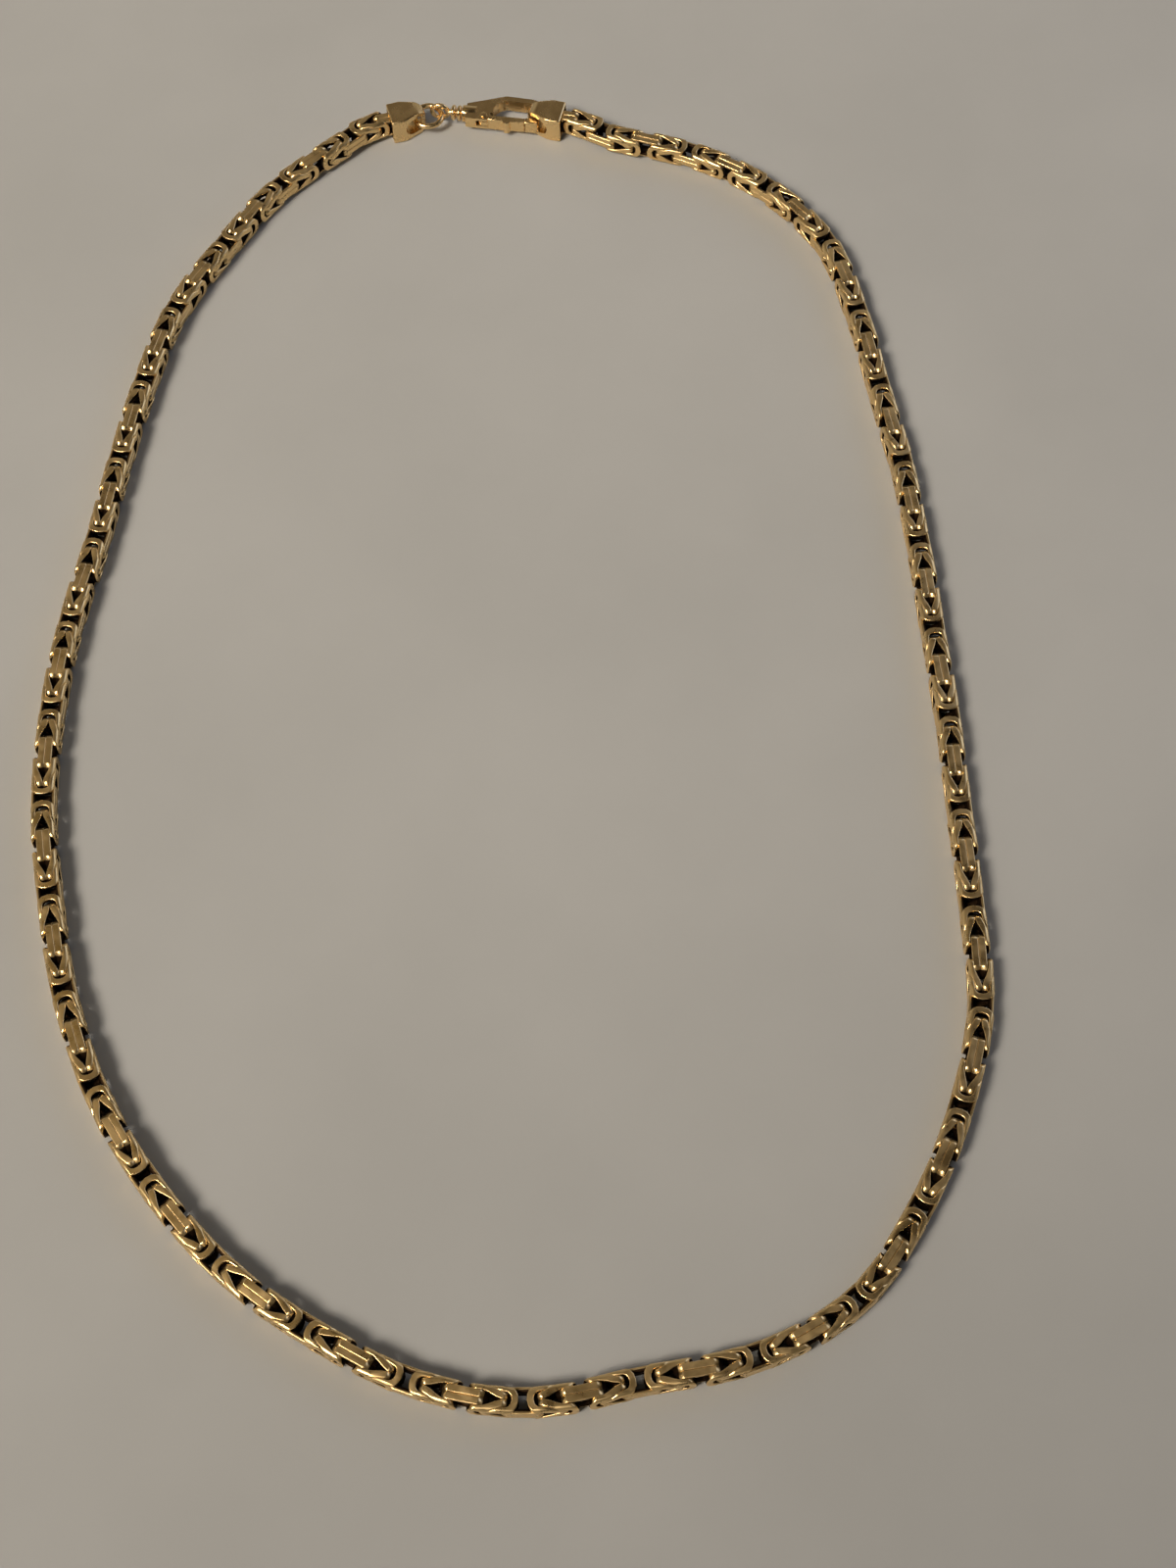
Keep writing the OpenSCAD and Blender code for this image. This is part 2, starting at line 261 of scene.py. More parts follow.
@dataclass(frozen=True)
class Tabletop:
    """Matt lacquered board under the necklace: pale, even, with a faint mottle.

    Attributes:
        colour: Colour of the board.
        mottle: Colour of its darker patches.
        roughness: Roughness of the lacquer.
        mottle_mm: Width of a patch.
        mottle_band: Values of the noise between which a patch fades into the board.
    """

    colour: str = "#AFAFAC"
    mottle: str = "#A9A9A6"
    roughness: float = 0.62
    mottle_mm: float = 60.0
    mottle_band: tuple[float, float] = (0.35, 0.65)

    def material(self) -> bpy.types.Material:
        """Builds the finish as a node material.

        Returns:
            The material.
        """
        made = bpy.data.materials.new("lacquered_board")
        made.use_nodes = True
        tree = made.node_tree
        tree.nodes.clear()
        place = add_node(tree, "ShaderNodeTexCoord").outputs["Object"]
        cloud = add_node(tree, "ShaderNodeTexNoise", {
            "Vector": place, "Scale": per_metre(self.mottle_mm), "Detail": 4.0,
            "Roughness": 0.55})
        tint = add_node(tree, "ShaderNodeValToRGB", {"Fac": cloud.outputs["Fac"]})
        stops = tint.color_ramp.elements
        for stop, at, colour in zip(stops, self.mottle_band, (self.mottle, self.colour)):
            stop.position = at
            stop.color = linear(colour)
        shader = add_node(tree, "ShaderNodeBsdfPrincipled", {
            "Base Color": tint.outputs["Color"], "Roughness": self.roughness})
        add_node(tree, "ShaderNodeOutputMaterial", {"Surface": shader.outputs["BSDF"]})
        return made


def mesh_object(name: str, mesh: bpy.types.Mesh) -> bpy.types.Object:
    """Puts a mesh into the scene as an object at the origin.

    Args:
        name: Name of the object.
        mesh: The mesh.

    Returns:
        The object.
    """
    made = bpy.data.objects.new(name, mesh)
    bpy.context.scene.collection.objects.link(made)
    return made


def finished_mesh(source: bpy.types.Object, name: str) -> bpy.types.Mesh:
    """Turns an object with its modifiers into one plain mesh.

    Args:
        source: The object, whose modifiers are evaluated.
        name: Name of the new mesh.

    Returns:
        The mesh, with its attributes kept.
    """
    graph = bpy.context.evaluated_depsgraph_get()
    made = bpy.data.meshes.new_from_object(
        source.evaluated_get(graph), preserve_all_data_layers=True, depsgraph=graph)
    made.name = name
    return made


def hand_over(piece: bpy.types.Object, body: Body, slot: Slot, *nodes: str) -> None:
    """Ties a finished piece to its body and hides the solids that it stands for.

    Args:
        piece: The finished piece.
        body: The body that it moves with.
        slot: The record's slot that it takes its finish from. Not used.
        *nodes: The solids that it replaces.
    """
    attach(piece, body.value)
    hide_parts(*nodes)
    LOG.info("%s: %d faces, rides on %s, replaces %s",
             piece.name, len(piece.data.polygons), body.value, ", ".join(nodes))


@dataclass(frozen=True)
class GroundBar:
    """The square bar with rounded corners to which the finished weave is ground.

    Attributes:
        side: Side of the square in millimetres.
        corner: Radius of its rounded corners.
        cuts_deg: Turns of the flat cuts that make up a rounded corner.
        worn: Width of the worn edges of the ground faces.
        worn_steps: Steps across a worn edge.
        wear_deg: Angle from which an edge of a ground face is worn.
        weld: Distance under which the cut's points are joined.
        sliver: Length under which an edge is dropped.
        snap: Distance from a cut at which a point counts as on it.
        flatness: Distance from the bar's face up to which a ring's face counts as ground.
        facing: Cosine of the angle between the two down to which it does.
        grazing: Cosine under which a way runs along a face and never meets it.
    """

    side: float = 3.3
    corner: float = 0.6
    cuts_deg: tuple[float, ...] = (22.5, 67.5)
    worn: float = 0.13
    worn_steps: int = 2
    wear_deg: float = 28.0
    weld: float = 0.045
    sliver: float = 0.0045
    snap: float = 1e-5
    flatness: float = 1e-3
    facing: float = 0.999
    grazing: float = 1e-3

    def _faces(self) -> list[tuple[Vector, float]]:
        """Works out where the bar's faces lie.

        Returns:
            For each face the way outwards and its distance from the bar's middle.
        """
        half = self.side / 2
        faces = []
        for quarter in range(4):
            for turn in (0.0, *self.cuts_deg):
                angle = math.radians(turn)
                out = Vector((0, math.cos(angle), math.sin(angle)))
                # A corner's cut touches its rounding where the rounding faces the cut's way.
                far = (half - self.corner) * (out.y + out.z) + self.corner if turn else half
                faces.append((Matrix.Rotation(quarter * math.pi / 2, 3, "X") @ out, far))
        return faces

    def grind(self, shell: bmesh.types.BMesh) -> None:
        """Cuts a closed mesh to the bar and wears the cut's edges.

        Args:
            shell: The mesh in millimetres, with the bar's middle along X.
        """
        faces = self._faces()
        for out, far in faces:
            cut = bmesh.ops.bisect_plane(
                shell, geom=[*shell.verts, *shell.edges, *shell.faces], dist=self.snap,
                plane_co=out * far, plane_no=out, clear_outer=True)["geom_cut"]
            rims = [item for item in cut if isinstance(item, bmesh.types.BMEdge)]
            bmesh.ops.holes_fill(shell, edges=rims, sides=0)
        bmesh.ops.remove_doubles(shell, verts=shell.verts, dist=self.weld)
        bmesh.ops.dissolve_degenerate(shell, edges=shell.edges, dist=self.sliver)
        bmesh.ops.recalc_face_normals(shell, faces=shell.faces)
        ground = {face for face in shell.faces if any(
            face.normal @ out > self.facing
            and abs(face.calc_center_median() @ out - far) < self.flatness
            for out, far in faces)}
        crisp = [edge for edge in shell.edges
                 if len(edge.link_faces) == 2 and not ground.isdisjoint(edge.link_faces)
                 and edge.calc_face_angle() > math.radians(self.wear_deg)]
        bmesh.ops.bevel(shell, geom=crisp, offset=self.worn, offset_type="OFFSET",
                        segments=self.worn_steps, profile=ROUND, affect="EDGES",
                        clamp_overlap=False)

    def depth_below(self, place: Vector, way: Vector) -> float:
        """Measures how far a place lies inside the bar.

        Args:
            place: The place in millimetres.
            way: The way that it faces, along which the depth is measured.

        Returns:
            The depth in millimetres.
        """
        return max(min((far - place @ out) / (way @ out) for out, far in self._faces()
                       if way @ out > self.grazing), 0.0)


@dataclass(frozen=True)
class RingShape:
    """One ring of the weave: a round-ended loop of rolled wire, ground with its neighbours.

    It lies flat with its upper side free. Its lower side lies against its twin, or slants away
    from it towards one end.

    Attributes:
        length: Outer length in millimetres.
        width: Outer width in millimetres.
        wall: Thickness of the wire from the ring's hole outwards.
        depth: Thickness of the wire across the ring's plane.
        middle: Place of the ring's middle along the chain.
        rise: Extra height of its far end.
        slant: Places along the chain between which it rises.
        squareness: Exponent of the ends' outline: 2 is round, and more is squarer.
        rim_soft: Rounding of the free side's outer edge.
        hole_soft: Width of the free side's softened edge round the hole.
        rounding_deg: Places round a quarter of an end, measured from the ring's long axis.
    """

    length: float
    width: float
    wall: float
    depth: float
    middle: float = 0.0
    rise: float = 0.0
    slant: tuple[float, float] = (0.0, 1.0)
    squareness: float = 1.85
    rim_soft: float = 0.12
    hole_soft: float = 0.22
    rounding_deg: tuple[float, ...] = (0.0, 23.0, 46.0, 68.0, 90.0)

    def _section(self) -> list[tuple[float, float]]:
        """Draws the wire's section, softened on its free side.

        Returns:
            Its points, each outwards from the wire's middle and upwards.
        """
        rim = self.wall / 2
        bulge = (1 - math.sqrt(0.5)) * self.rim_soft
        return [(rim, self.depth - self.rim_soft), (rim - bulge, self.depth - bulge),
                (rim - self.rim_soft, self.depth), (self.hole_soft - rim, self.depth),
                (-rim, self.depth - self.hole_soft), (-rim, 0.0), (rim, 0.0)]

    def _path(self) -> list[tuple[Vector, Vector]]:
        """Draws the ring's outline along the wire's middle.

        Returns:
            Places on it with the way outwards at each.
        """
        half_w = (self.width - self.wall) / 2
        reach = (self.length - self.width) / 2
        power = 2 / self.squareness
        quarter = []
        for turn in map(math.radians, self.rounding_deg):
            along, across = math.cos(turn) ** power, math.sin(turn) ** power
            out = Vector((along ** (self.squareness - 1), across ** (self.squareness - 1), 0))
            quarter.append((Vector((reach + half_w * along, half_w * across, 0)),
                            out.normalized()))
        # Round each end from one long side to the other, then halfway back along that side.
        places = []
        for end in (1, -1):
            for flip, steps in ((-1, quarter[:0:-1]), (1, quarter)):
                places += [tuple(Vector((end * v.x, end * flip * v.y, 0)) for v in step)
                           for step in steps]
            places.append((half_w * Vector((0, end, 0)), Vector((0, end, 0))))
        return places

    def _raised(self, place: Vector) -> Vector:
        """Moves a place of the flat ring to where it lies in the weave.

        Args:
            place: The place.

        Returns:
            Where it comes to lie.
        """
        along = place.x + self.middle
        share = (along - self.slant[0]) / (self.slant[1] - self.slant[0])
        return Vector((along, place.y, place.z + self.rise * eased(share)))

    def build(self, name: str, bar: GroundBar) -> bpy.types.Object:
        """Makes the ring's mesh with the chain's middle along X.

        Args:
            name: Name of the object.
            bar: The bar that the ring is ground to.

        Returns:
            The object in metres, with each point's depth below the ground faces.
        """
        section, path = self._section(), self._path()
        shell = bmesh.new()
        loops = [[shell.verts.new(self._raised(at + out * u + Vector((0, 0, v))))
                  for u, v in section] for at, out in path]
        # The last section joins the first, and so does the section's last point its first.
        for i, here in enumerate(loops):
            ahead = loops[(i + 1) % len(loops)]
            for j in range(len(section)):
                k = (j + 1) % len(section)
                shell.faces.new((here[j], ahead[j], ahead[k], here[k]))
        bmesh.ops.recalc_face_normals(shell, faces=shell.faces)
        bar.grind(shell)
        mesh = bpy.data.meshes.new(name)
        shell.to_mesh(mesh)
        shell.free()
        depths = [bar.depth_below(vertex.co, vertex.normal) * MM for vertex in mesh.vertices]
        mesh.attributes.new("below", "FLOAT", "POINT").data.foreach_set("value", depths)
        mesh.transform(Matrix.Scale(MM, 4))
        mesh.shade_smooth()
        return mesh_object(name, mesh)


@dataclass
class ByzantineChain:
    """The woven chain between the two end caps.

    Pairs of long rings alternate between upright and flat at even steps of half a unit. Four
    short rings lock each pair to the next: two flank the one pair and reach into the other, and
    two do the same the other way round. The finished weave is ground flat on its four sides.

    Attributes:
        units: Full repeats of the weave between the caps.
        bar: The square section to which it is ground.
        cap_side: Side of an end cap's square section.
        rise_len: Distance over which the chain rises to the middle of a cap.
        lift: Height by which the twisted chain's middle lies above half its side.
        lead_out: Straight length outside each cap.
        seat_in: Length of the chain inside each cap.
        left_turn: Direction of the left cap's axis towards the clasp, in degrees.
        right_turn: The same for the right cap.
        wall: Thickness of the wire in the plane of its ring.
        depth: Thickness of the wire across that plane.
        room: Clearance between neighbouring wires.
        long_len: Outer length of a long ring.
        gap_share: Distance from the middle of a gap to the short rings' ends, in units.
        short_squareness: Exponent of the short rings' ends, which are pressed squarer.
        short_soft: Rounding of the short rings' free side.
        slant_room: Length beside a pair over which the rings that flank it still spread.
        loose_deg: Largest random turn of the rings at one place about each axis.
        twist_deg: Largest slow twist of the chain as it lies.
        seed: Seed of the random turns.
        spline_steps: Samples of the smooth route from one point to the next.
    """

    units: int = 36
    bar: GroundBar = field(default_factory=GroundBar)
    cap_side: float = 4.6
    rise_len: float = 26.0
    lift: float = 0.06
    lead_out: float = 3.5
    seat_in: float = 1.12
    left_turn: float = 14.0
    right_turn: float = 164.0
    wall: float = 0.88
    depth: float = 0.97
    room: float = 0.01
    long_len: float = 6.3
    gap_share: float = 0.034
    short_squareness: float = 2.25
    short_soft: float = 0.28
    slant_room: float = 1.2
    loose_deg: float = 1.2
    twist_deg: float = 3.0
    seed: int = 7
    spline_steps: int = 8

    @staticmethod
    def _cap_back(node: str, turn: float) -> tuple[Vector, Vector]:
        """Finds the middle of an end cap's back face from its solid.

        Args:
            node: The cap's node.
            turn: Direction of its axis towards the clasp, in degrees.

        Returns:
            The place in millimetres, and the axis as a unit vector.
        """
        axis = Vector((math.cos(math.radians(turn)), math.sin(math.radians(turn))))
        beside = Vector((-axis.y, axis.x))
        corners = [Vector((v.co.x, v.co.y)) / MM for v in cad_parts[node].data.vertices]
        across = [c @ beside for c in corners]
        back = min(c @ axis for c in corners)
        return axis * back + beside * (min(across) + max(across)) / 2, axis

    def _control_points(self) -> tuple[list[Vector], list[Vector]]:
        """Joins the given route to the two caps.

        Returns:
            The route's points from seat to seat, and the middles of the two caps' backs.
        """
        left, left_axis = self._cap_back("end_cap_left", self.left_turn)
        right, right_axis = self._cap_back("end_cap_right", self.right_turn)
        points = [left + self.seat_in * left_axis, left - self.lead_out * left_axis]
        points += [Vector(p) for p in CHAIN_ROUTE]
        points += [right - self.lead_out * right_axis, right + self.seat_in * right_axis]
        return points, [left, right]

    @staticmethod
    def _between(four: Sequence[Vector], share: float) -> Vector:
        """Finds a place of the smooth route between two of its points.

        Args:
            four: The two points, with the one before them and the one after.
            share: How far from the first of the two to the second the place lies.

        Returns:
            The place.
        """
        before, here, ahead, after = four
        return 0.5 * (2 * here + (ahead - before) * share
                      + (2 * before - 5 * here + 4 * ahead - after) * share * share
                      + (3 * here - before - 3 * ahead + after) * share ** 3)

    def _centre_line(self) -> list[Vector]:
        """Samples the smooth route.

        Returns:
            Its places in millimetres, raised to the caps' middle near the caps.
        """
        points, backs = self._control_points()
        ends = [2 * points[0] - points[1]] + points + [2 * points[-1] - points[-2]]
        line = []
        for i in range(1, len(points)):
            for step in range(self.spline_steps + (i == len(points) - 1)):
                flat = self._between(ends[i - 1:i + 3], step / self.spline_steps)
                near = min((flat - back).length for back in backs)
                share = (near - self.lead_out) / self.rise_len
                rise = (self.cap_side - self.bar.side) / 2 * (1 - eased(share))
                height = self.bar.side / 2 + max(rise, self.lift)
                line.append(Vector((flat.x, flat.y, height)))
        return line

    def _route_object(self) -> tuple[bpy.types.Object, float]:
        """Makes the route a curve.

        Returns:
            The curve object in metres, and the chain's length between the caps in millimetres.
        """
        line = self._centre_line()
        curve = bpy.data.curves.new("weave_route", "CURVE")
        curve.dimensions = "3D"
        spline = curve.splines.new("POLY")
        spline.points.add(len(line) - 1)
        for point, place in zip(spline.points, line):
            point.co = (*(place * MM), 1)
        whole = sum((b - a).length for a, b in zip(line, line[1:]))
        made = bpy.data.objects.new("woven_chain", curve)
        bpy.context.scene.collection.objects.link(made)
        return made, whole - 2 * self.seat_in

    def _ring_shapes(self, unit: float) -> dict[str, RingShape]:
        """Works out the three kinds of ring from the pitch of the weave.

        Args:
            unit: Length of one full repeat in millimetres.

        Returns:
            The shapes by the names of the tree's inputs.
        """
        ring_w = 2 * (self.depth + self.wall)
        wall, depth = self.wall - self.room, self.depth - self.room
        wide_at = unit / 4 - self.gap_share * unit
        narrow_at = unit / 4 - self.long_len / 2 + 2 * self.wall
        slant = (narrow_at - self.wall, self.long_len / 2 - unit / 4 - self.slant_room)
        end_reach = self.seat_in - self.room
        return {
            "Long Ring": RingShape(self.long_len, ring_w, wall, depth),
            "Short Ring": RingShape(
                wide_at + narrow_at, ring_w, wall, depth, (narrow_at - wide_at) / 2, self.depth,
                slant, self.short_squareness, self.short_soft),
            "End Ring": RingShape(self.long_len / 2 + end_reach, ring_w, wall, depth,
                                  (self.long_len / 2 - end_reach) / 2)}

    def build(self, metal: bpy.types.Material) -> bpy.types.Object:
        """Weaves the chain and makes it one plain mesh.

        Args:
            metal: The rings' material.

        Returns:
            The finished piece.
        """
        route, span = self._route_object()
        helpers = {name: shape.build(name.replace(" ", "_").lower(), self.bar)
                   for name, shape in self._ring_shapes(span / self.units).items()}
        sizes = {**helpers, "Metal": metal, "Places": 4 * self.units + 1,
                 "Seat": self.seat_in * MM, "Looseness": math.radians(self.loose_deg),
                 "Twist": math.radians(self.twist_deg), "Seed": self.seed}
        weave = route.modifiers.new("weave", "NODES")
        weave.node_group = WeaveTree().build()
        for item in weave.node_group.interface.items_tree:
            if item.name in sizes:
                weave[item.identifier] = sizes[item.name]
        woven = mesh_object("woven_rings", finished_mesh(route, "woven_rings"))
        woven.modifiers.new("flat_faces", "WEIGHTED_NORMAL")
        chain = mesh_object("woven_chain_links", finished_mesh(woven, "woven_chain_links"))
        for helper in (route, woven, *helpers.values()):
            bpy.data.objects.remove(helper)
        hand_over(chain, Body.NECKLACE, Slot.WOVEN, "chain")
        return chain


@dataclass
class WeaveTree:
    """The geometry tree that weaves rings along a route.

    Attributes:
        inputs: Names and kinds of its inputs.
        pair_turns: Turns of a pair's two rings.
        last_turns: The same for the last pair, which points the other way.
        knot_turns: Turns of a knot's four short rings.
        twist_pace: Share of the slow twist's period from one place to the next.
    """

    inputs: tuple[tuple[str, str], ...] = (
        ("Route", "Geometry"), ("Long Ring", "Object"), ("Short Ring", "Object"),
        ("End Ring", "Object"), ("Metal", "Material"), ("Places", "Int"), ("Seat", "Float"),
        ("Looseness", "Float"), ("Twist", "Float"), ("Seed", "Int"))
    pair_turns: tuple[tuple[float, ...], ...] = ((0, 0, 0), (math.pi, 0, 0))
    last_turns: tuple[tuple[float, ...], ...] = ((0, 0, math.pi), (0, math.pi, 0))
    knot_turns: tuple[tuple[float, ...], ...] = (
        (-math.pi / 2, 0, 0), (math.pi / 2, 0, 0), (0, 0, math.pi), (0, math.pi, 0))
    twist_pace: float = 0.23

    def build(self) -> bpy.types.NodeTree:
        """Builds the tree.

        Returns:
            The tree, with its sizes as named inputs.
        """
        tree = bpy.data.node_groups.new("byzantine_weave", "GeometryNodeTree")
        for name, kind in self.inputs:
            tree.interface.new_socket(name, in_out="INPUT", socket_type=f"NodeSocket{kind}")
        tree.interface.new_socket("Weave", in_out="OUTPUT", socket_type="NodeSocketGeometry")
        given = tree.nodes.new("NodeGroupInput").outputs
        points, turned, index, odd = self._places(tree, given)
        joined = tree.nodes.new("GeometryNodeJoinGeometry")
        for ring, where, turns in self._kinds(tree, given, index, odd):
            shape = add_node(tree, "GeometryNodeObjectInfo", {"Object": given[ring]})
            for turn in turns:
                facing = add_node(tree, "FunctionNodeRotateRotation", {
                    "Rotation": turned, "Rotate By": turn}, rotation_space="LOCAL")
                laid = add_node(tree, "GeometryNodeInstanceOnPoints", {
                    "Points": points, "Selection": where, "Rotation": facing.outputs[0],
                    "Instance": shape.outputs["Geometry"]})
                tree.links.new(laid.outputs["Instances"], joined.inputs["Geometry"])
        whole = add_node(tree, "GeometryNodeRealizeInstances", {"Geometry": joined.outputs[0]})
        dressed = add_node(tree, "GeometryNodeSetMaterial", {
            "Geometry": whole.outputs["Geometry"], "Material": given["Metal"]})
        add_node(tree, "NodeGroupOutput", {"Weave": dressed.outputs["Geometry"]})
        return tree

    def _places(self, tree: bpy.types.NodeTree,
                given: bpy.types.NodeOutputs) -> tuple[Any, Any, Any, Any]:
        """Spreads the rings' places along the route.

        Args:
            tree: The tree.
            given: Its inputs.

        Returns:
            The places, their turn with the weave's quarter turns, their index, and whether
            the index is odd.
        """
        length = add_node(tree, "GeometryNodeCurveLength", {"Curve": given["Route"]})
        end = add_node(tree, "ShaderNodeMath", {
            0: length.outputs["Length"], 1: given["Seat"]}, operation="SUBTRACT").outputs[0]
        trimmed = add_node(tree, "GeometryNodeTrimCurve", {
            "Curve": given["Route"], 4: given["Seat"], 5: end}, mode="LENGTH")
        places = add_node(tree, "GeometryNodeCurveToPoints", {
            "Curve": trimmed.outputs["Curve"], "Count": given["Places"]}, mode="COUNT")
        heading = add_node(tree, "FunctionNodeAlignRotationToVector", {
            "Vector": places.outputs["Tangent"]}, axis="X", pivot_axis="Z")
        climbing = add_node(tree, "FunctionNodeAlignRotationToVector", {
            "Rotation": heading.outputs["Rotation"], "Vector": places.outputs["Tangent"]},
            axis="X", pivot_axis="Y")
        index = add_node(tree, "GeometryNodeInputIndex").outputs["Index"]
        # Pairs stand at the even places and knots at the odd ones. Each pair is a quarter turn
        # from the last, and so is each knot.
        odd = add_node(tree, "ShaderNodeMath", {0: index, 1: 2.0}, operation="MODULO").outputs[0]
        half = add_node(tree, "ShaderNodeMath", {
            0: index, 1: 0.5}, operation="MULTIPLY").outputs[0]
        step = add_node(tree, "ShaderNodeMath", {0: half}, operation="FLOOR").outputs[0]
        pair = add_node(tree, "ShaderNodeMath", {0: 1.0, 1: odd}, operation="SUBTRACT").outputs[0]
        quarters = add_node(tree, "ShaderNodeMath", {0: step, 1: pair}, operation="ADD").outputs[0]
        # The chain as it lies twists slowly to and fro along the route.
        along = add_node(tree, "ShaderNodeMath", {
            0: index, 1: self.twist_pace}, operation="MULTIPLY").outputs[0]
        drift = add_node(tree, "ShaderNodeTexNoise", {
            "W": along, "Scale": 1.0, "Detail": 1.0}, noise_dimensions="1D").outputs["Fac"]
        most = add_node(tree, "ShaderNodeMath", {
            0: given["Twist"], 1: -1.0}, operation="MULTIPLY").outputs[0]
        twist = add_node(tree, "ShaderNodeMapRange", {
            "Value": drift, "From Min": NOISE_BAND[0], "From Max": NOISE_BAND[1],
            "To Min": most, "To Max": given["Twist"]}).outputs["Result"]
        roll = add_node(tree, "ShaderNodeMath", {
            0: quarters, 1: math.pi / 2, 2: twist}, operation="MULTIPLY_ADD").outputs[0]
        about = add_node(tree, "FunctionNodeAxisAngleToRotation", {
            "Axis": (1.0, 0.0, 0.0), "Angle": roll})
        turned = add_node(tree, "FunctionNodeRotateRotation", {
            "Rotation": climbing.outputs["Rotation"], "Rotate By": about.outputs["Rotation"]},
            rotation_space="LOCAL")
        # The rings have a little play, so those at each place are turned a little at random.
        least = add_node(tree, "ShaderNodeMath", {
            0: given["Looseness"], 1: -1.0}, operation="MULTIPLY").outputs[0]
        low = add_node(tree, "ShaderNodeCombineXYZ", dict.fromkeys(range(3), least))
        high = add_node(tree, "ShaderNodeCombineXYZ", dict.fromkeys(range(3), given["Looseness"]))
        stir = add_node(tree, "FunctionNodeRandomValue", {
            0: low.outputs[0], 1: high.outputs[0], "Seed": given["Seed"]}, data_type="FLOAT_VECTOR")
        stir = add_node(tree, "FunctionNodeEulerToRotation", {"Euler": stir.outputs[0]})
        loose = add_node(tree, "FunctionNodeRotateRotation", {
            "Rotation": turned.outputs["Rotation"], "Rotate By": stir.outputs["Rotation"]},
            rotation_space="LOCAL")
        return places.outputs["Points"], loose.outputs["Rotation"], index, odd

    def _kinds(self, tree: bpy.types.NodeTree, given: bpy.types.NodeOutputs,
               index: bpy.types.NodeSocket,
               odd: bpy.types.NodeSocket) -> list[tuple[str, Any, tuple]]:
        """Sorts the places by the kind of ring that they hold.

        Args:
            tree: The tree.
            given: Its inputs.
            index: The places' index.
            odd: Whether the index is odd.

        Returns:
            For each kind the ring's input, the places and the rings' turns there.
        """
        # The first and the last place hold half pairs, whose ends sit inside the caps.
        first = add_node(tree, "ShaderNodeMath", {
            0: index, 1: 0.5}, operation="LESS_THAN").outputs[0]
        before_last = add_node(tree, "ShaderNodeMath", {
            0: given["Places"], 1: 1.5}, operation="SUBTRACT").outputs[0]
        last = add_node(tree, "ShaderNodeMath", {
            0: index, 1: before_last}, operation="GREATER_THAN").outputs[0]
        ends = add_node(tree, "ShaderNodeMath", {0: first, 1: last}, operation="ADD").outputs[0]
        others = add_node(tree, "ShaderNodeMath", {0: odd, 1: ends}, operation="ADD").outputs[0]
        inner = add_node(tree, "ShaderNodeMath", {
            0: 1.0, 1: others}, operation="SUBTRACT").outputs[0]
        return [("Long Ring", inner, self.pair_turns), ("Short Ring", odd, self.knot_turns),
                ("End Ring", first, self.pair_turns), ("End Ring", last, self.last_turns)]


@dataclass(frozen=True)
class CastPiece:
    """A small cast or turned piece: a copy of its solid with softened edges.

    Attributes:
        node: The solid that it stands for.
        name: The piece's name.
        edge_mm: Width of the softened edges.
        body: The body that it moves with.
        steps: Steps across a softened edge.
        long_edge_mm: Length from which an outer edge is softened over the full width, or 0.
        sharp_deg: Angle from which an edge is softened.
        weld_mm: Distance under which the solid's doubled points are joined.
        flat_deg: Angle up to which neighbouring triangles become one face.
    """

    node: str
    name: str
    edge_mm: float
    body: Body = Body.NECKLACE
    steps: int = 3
    long_edge_mm: float = 0.0
    sharp_deg: float = 32.0
    weld_mm: float = 0.002
    flat_deg: float = 0.5

    def build(self, metal: bpy.types.Material) -> bpy.types.Object:
        """Makes the piece.

        Args:
            metal: Its material.

        Returns:
            The finished piece.
        """
        sharp = math.radians(self.sharp_deg)
        shell = bmesh.new()
        shell.from_mesh(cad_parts[self.node].data)
        bmesh.ops.remove_doubles(shell, verts=shell.verts, dist=self.weld_mm * MM)
        bmesh.ops.dissolve_limit(shell, angle_limit=math.radians(self.flat_deg),
                                 verts=shell.verts, edges=shell.edges)
        if self.long_edge_mm:
            longer = [edge for edge in shell.edges
                      if edge.calc_length() > self.long_edge_mm * MM and len(edge.link_faces) == 2
                      and edge.calc_face_angle() > sharp and edge.is_convex]
            bmesh.ops.bevel(shell, geom=longer, offset=self.edge_mm * MM, offset_type="OFFSET",
                            segments=self.steps, profile=ROUND, affect="EDGES",
                            clamp_overlap=False)
        rough = bpy.data.meshes.new(self.name + "_rough")
        shell.to_mesh(rough)
        shell.free()
        rough.shade_smooth()
        source = mesh_object(self.name + "_rough", rough)
        edges = source.modifiers.new("soft_edges", "BEVEL")
        edges.width = self.edge_mm * MM
        edges.segments = self.steps
        edges.limit_method = "ANGLE"
        edges.angle_limit = sharp
        edges.miter_outer = "MITER_ARC"
        source.modifiers.new("flat_faces", "WEIGHTED_NORMAL")
        piece = mesh_object(self.name, finished_mesh(source, self.name))
        bpy.data.objects.remove(source)
        piece.data.materials.clear()
        piece.data.materials.append(metal)
        hand_over(piece, self.body, Slot.POLISHED, self.node)
        return piece


@dataclass
class Closure:
    """The two end caps, the jump ring and the swivel lobster clasp.

    Attributes:
        pieces: The pieces, one for each solid.
    """

    pieces: tuple[CastPiece, ...] = (
        CastPiece("end_cap_left", "cap_left_cast", 0.26, long_edge_mm=0.9),
        CastPiece("end_cap_right", "cap_right_cast", 0.26, long_edge_mm=0.9),
        CastPiece("jump_ring", "jump_ring_wire", 0.05),
        CastPiece("clasp_swivel", "swivel_turned", 0.1),
        CastPiece("clasp_body", "clasp_hook_cast", 0.13, long_edge_mm=0.9),
        CastPiece("clasp_lever", "clasp_lever_cast", 0.15, Body.LEVER, long_edge_mm=0.9),
        CastPiece("lever_pin", "lever_pin_head", 0.04),
    )

    def build(self, metal: bpy.types.Material) -> list[bpy.types.Object]:
        """Makes every piece of the closure from one metal."""
        return [piece.build(metal) for piece in self.pieces]


